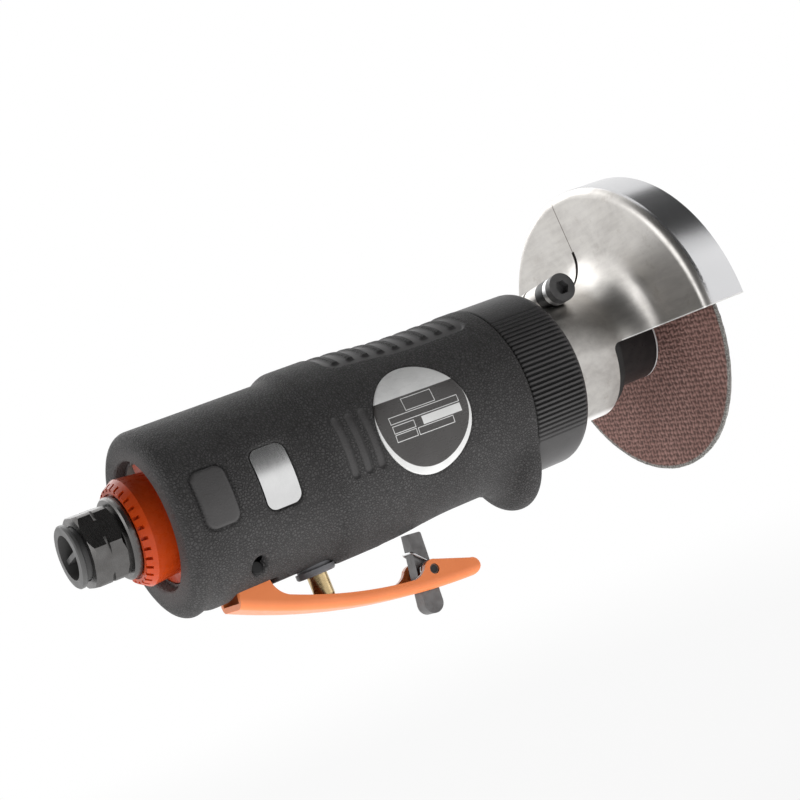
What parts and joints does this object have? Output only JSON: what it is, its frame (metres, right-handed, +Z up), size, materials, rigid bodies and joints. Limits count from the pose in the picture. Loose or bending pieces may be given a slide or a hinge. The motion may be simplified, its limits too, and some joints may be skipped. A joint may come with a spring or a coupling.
{
  "type": "air cut-off tool",
  "caption": "Straight hand-held air cut-off tool with a moulded grip, throttle lever with lock-off latch, turning exhaust ring, half wheel guard and thin cutting disc.",
  "frame": {"origin": "on the tool axis where the air inlet's thread begins, 6 mm inside the bushing's rear face", "axes": "+X along the tool axis from the air inlet to the cutting disc, +Z up with the lever below, +Y to the left of someone who looks towards the disc"},
  "size_m": [0.1737, 0.085, 0.0876],
  "materials": {
    "grip_black": "pebbled",
    "collar_black": "satin",
    "deflector_red": "glossy",
    "lever_orange": "satin",
    "black_steel": "semi-gloss",
    "plug_grey": "matte",
    "guard_steel": "brushed plate, polished rim",
    "steel": "ground",
    "latch_steel": "phosphated",
    "spring_steel": "bright",
    "brass": "turned",
    "aluminium": "polished",
    "valve_grey": "matte",
    "seal_rubber": "matte",
    "muffler_felt": "felt",
    "vane_brown": "matte",
    "label_foil": "foil",
    "abrasive": "woven abrasive"
  },
  "bodies": {
    "housing": {"inlet_bushing": "black_steel", "muffler_ring": "muffler_felt", "motor_housing": "aluminium", "grip_sleeve": "grip_black", "data_plate": "label_foil", "lever_pin": "steel", "valve_bushing": "valve_grey", "stem_seal": "seal_rubber", "valve_cap": "aluminium", "rear_plate": "steel", "rear_bearing": "steel", "motor_cylinder": "steel", "front_plate": "steel", "front_bearing": "steel", "front_collar": "collar_black", "nose_housing": "aluminium", "nose_bearing": "steel", "bearing_circlip": "spring_steel"},
    "deflector": {"exhaust_deflector": "deflector_red"},
    "plug": {"thread_plug": "plug_grey"},
    "lever": {"throttle_lever": "lever_orange", "latch_pin": "steel"},
    "latch": {"lock_off_latch": "latch_steel", "latch_spring": "spring_steel"},
    "valve": {"valve_stem": "brass", "valve_spring": "spring_steel"},
    "rotor": {"rotor": "steel", "rotor_vanes": "vane_brown", "spindle": "steel", "inner_flange": "black_steel", "cutting_disc": "abrasive", "outer_flange": "steel", "arbor_screw": "black_steel"},
    "guard": {"wheel_guard": "guard_steel", "guard_bush": "black_steel", "guard_screw": "black_steel"}
  },
  "joints": [
    {"name": "lever_pull", "type": "hinge", "parent": "housing", "child": "lever", "pos_m": [0.0274, 0, -0.018], "axis": [0, -1, 0], "range_deg": [0, 7], "stiffness_Nm_per_rad": 0.4, "springref_deg": -2.86},
    {"name": "latch_fold", "type": "hinge", "parent": "lever", "child": "latch", "pos_m": [0.0722, 0, -0.0348], "axis": [0, -1, 0], "range_deg": [0, 90], "deforming": ["latch_spring"]},
    {"name": "valve_slide", "type": "slide", "parent": "housing", "child": "valve", "axis": [0, 0, 1], "range_m": [0, 0.0035], "deforming": ["valve_spring"]},
    {"name": "deflector_turn", "type": "hinge", "parent": "housing", "child": "deflector", "pos_m": [0.0098, 0, 0], "axis": [1, 0, 0], "continuous": true},
    {"name": "spindle_spin", "type": "hinge", "parent": "housing", "child": "rotor", "pos_m": [0.08, 0, 0], "axis": [1, 0, 0], "continuous": true},
    {"name": "guard_turn", "type": "hinge", "parent": "housing", "child": "guard", "pos_m": [0.132, 0, 0], "axis": [1, 0, 0], "continuous": true},
    {"name": "plug_pull", "type": "slide", "parent": "housing", "child": "plug", "axis": [-1, 0, 0], "range_m": [0, 0.045]}
  ],
  "couplings": [
    {"joint": "latch_fold", "follows": "lever_pull", "ratio": 10},
    {"joint": "valve_slide", "follows": "lever_pull", "m_per_rad": 0.0205}
  ]
}
